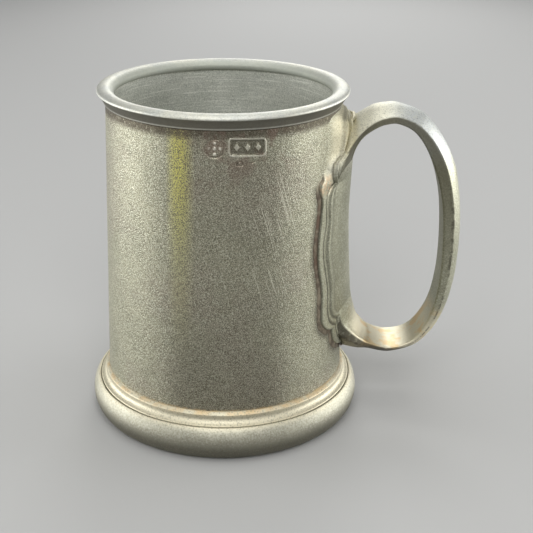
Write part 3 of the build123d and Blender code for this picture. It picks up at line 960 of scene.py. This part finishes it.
def solder_paint(name, light, dark, stain, amount):
    """Dull solder with clouded residue, and painted shadow where it lies high under the lip."""
    p = Paint(name)
    metal = p.mix(p.between(p.noise(0.5, 3.0), 0.35, 0.65), light, dark)
    metal = p.mix(p.times(p.between(p.noise(0.2, 3.0), 0.42, 0.6), amount), metal, stain)
    # Painted shadow on solder high up, under the lip.
    metal = p.mix(p.times(p.between(p.axes()[2], 100, 110), 0.9), metal, (0.07, 0.06, 0.045))
    normal = p.bump(p.noise(1.8, 3.0, 0.6), 0.10, 0.7)
    return p.finish(metal, p.plus(0.42, p.times(p.noise(1.1), 0.2)), normal, 0.9)


def plate_seam_paint():
    """The fillet round the handle plate: darkened with painted shade low down, with a reddish-brown tint, and
    paler where the plate melts into the drum.
    """
    p = Paint("plate_solder")
    height = p.axes()[2]
    pale_upper = p.mix(p.between(p.noise(0.5, 3.0), 0.35, 0.65), (0.52, 0.49, 0.38), (0.42, 0.40, 0.30))
    # Painted shade on the fillet low down, with a real reddish-brown tint in its middle.
    shaded_dark = p.mix(p.between(p.noise(0.3, 4.0, 0.7), 0.40, 0.62), (0.13, 0.105, 0.078), (0.26, 0.225, 0.165))
    red = p.times(p.between(height, 58, 66), p.between(height, 92, 84))
    shaded_dark = p.mix(p.times(red, p.between(p.noise(0.4, 3.0), 0.4, 0.6)), shaded_dark, (0.15, 0.105, 0.075))
    metal = p.mix(p.between(height, 97, 90), pale_upper, shaded_dark)
    normal = p.bump(p.noise(1.6, 3.0, 0.6), 0.12, 0.7)
    return p.finish(metal, p.plus(0.55, p.times(p.noise(1.1), 0.2)), normal, 0.8)


def dress(obj, material):
    """Gives an object one material."""
    obj.data.materials.clear()
    obj.data.materials.append(material)


# ---------------------------------------------------------------- stage: floor, lights, camera

def make_floor():
    """A plain pale floor."""
    size = 3.0
    mesh = bpy.data.meshes.new("floor")
    corners = [(-size, -size, 0), (size, -size, 0), (size, size, 0), (-size, size, 0)]
    mesh.from_pydata(corners, [], [(0, 1, 2, 3)])
    floor = bpy.data.objects.new("floor", mesh)
    bpy.context.scene.collection.objects.link(floor)
    material = bpy.data.materials.new("pale_floor")
    material.use_nodes = True
    shader = material.node_tree.nodes["Principled BSDF"]
    shader.inputs["Base Color"].default_value = (0.44, 0.44, 0.43, 1)
    shader.inputs["Roughness"].default_value = 0.9
    mesh.materials.append(material)


LIGHT_TARGET = (0, 0, 0.06)


def softbox(name, place, size, power):
    """A rectangular area light that faces the tankard's middle."""
    light = bpy.data.lights.new(name, "AREA")
    light.shape = "RECTANGLE"
    light.size, light.size_y = size
    light.energy = power
    obj = bpy.data.objects.new(name, light)
    obj.location = place
    obj.rotation_euler = (Vector(LIGHT_TARGET) - Vector(place)).to_track_quat("-Z", "Y").to_euler()
    bpy.context.scene.collection.objects.link(obj)


def make_lights():
    """Five soft boxes and a dim even surround."""
    softbox("left_box", (-0.88, 0.0, 0.17), (0.8, 0.34), 5.8)
    softbox("right_box", (0.86, 0.18, 0.17), (0.8, 0.34), 6.1)
    softbox("back_box", (0.06, 1.0, 0.50), (0.45, 0.6), 3.6)
    softbox("overhead_box", (0.0, 0.0, 0.95), (0.7, 1.0), 4.6)
    softbox("front_box", (0.0, -0.95, 0.85), (0.8, 0.6), 8.4)
    world = bpy.data.worlds.new("studio")
    world.use_nodes = True
    world.node_tree.nodes["Background"].inputs["Color"].default_value = (0.85, 0.88, 0.90, 1)
    world.node_tree.nodes["Background"].inputs["Strength"].default_value = 0.10
    bpy.context.scene.world = world


# The camera's place, its heading (0 looks along +Y, positive turns to +X), its dip and its roll.
CAMERA_PLACE = (0.0267, -0.3813, 0.2120)
CAMERA_HEADING, CAMERA_DIP, CAMERA_ROLL = -1.68, 22.48, 0.58
CAMERA_LENS = 75.28


def make_camera():
    """The camera, from its heading, dip and roll."""
    heading, dip, roll = (math.radians(a) for a in (CAMERA_HEADING, CAMERA_DIP, CAMERA_ROLL))
    ahead = Vector((math.sin(heading) * math.cos(dip), math.cos(heading) * math.cos(dip), -math.sin(dip)))
    right = Vector((math.cos(heading), -math.sin(heading), 0))
    up = right.cross(ahead)
    right, up = right * math.cos(roll) + up * math.sin(roll), up * math.cos(roll) - right * math.sin(roll)
    data = bpy.data.cameras.new("camera")
    data.lens = CAMERA_LENS
    data.sensor_width = 36
    camera = bpy.data.objects.new("camera", data)
    camera.matrix_world = Matrix((
        (right.x, up.x, -ahead.x, CAMERA_PLACE[0]),
        (right.y, up.y, -ahead.y, CAMERA_PLACE[1]),
        (right.z, up.z, -ahead.z, CAMERA_PLACE[2]),
        (0, 0, 0, 1),
    ))
    bpy.context.scene.collection.objects.link(camera)
    bpy.context.scene.camera = camera


# ---------------------------------------------------------------- build

make_camera()
make_floor()
make_lights()

make_drum()
dress(make_lip(), turned_paint("lip_pewter", (0.69, 0.685, 0.60), (0.60, 0.61, 0.565), (0.48, 0.51, 0.50),
                               gloss=0.50, pits=0.2))
dress(make_foot(), turned_paint("foot_pewter", (0.52, 0.505, 0.41), (0.45, 0.44, 0.355), (0.38, 0.37, 0.295),
                                gloss=0.50, residue=0.8, low_shade=0.75))
dress(make_base(), turned_paint("bottom_pewter", (0.50, 0.52, 0.47), (0.42, 0.43, 0.38), (0.34, 0.35, 0.31)))
make_ring_solder()
handle_material = handle_paint()
dress(make_plate(), handle_material)
dress(make_strap(), handle_material)
make_plate_solder()
make_root_solder()
pale_solder = solder_paint("pale_solder", (0.60, 0.56, 0.43), (0.46, 0.42, 0.31), ORANGE, 0.5)
dark_solder = solder_paint("dark_solder", (0.30, 0.27, 0.20), (0.16, 0.14, 0.10), (0.20, 0.12, 0.08), 0.5)
for seam in ("foot_seam", "bottom_seam"):
    dress(bpy.data.objects[seam], pale_solder)
dress(bpy.data.objects["upper_root_seam"], handle_material)
for seam in ("lip_seam", "lower_root_seam"):
    dress(bpy.data.objects[seam], dark_solder)
dress(bpy.data.objects["plate_seam"], plate_seam_paint())

bpy.context.scene.view_settings.view_transform = "Standard"
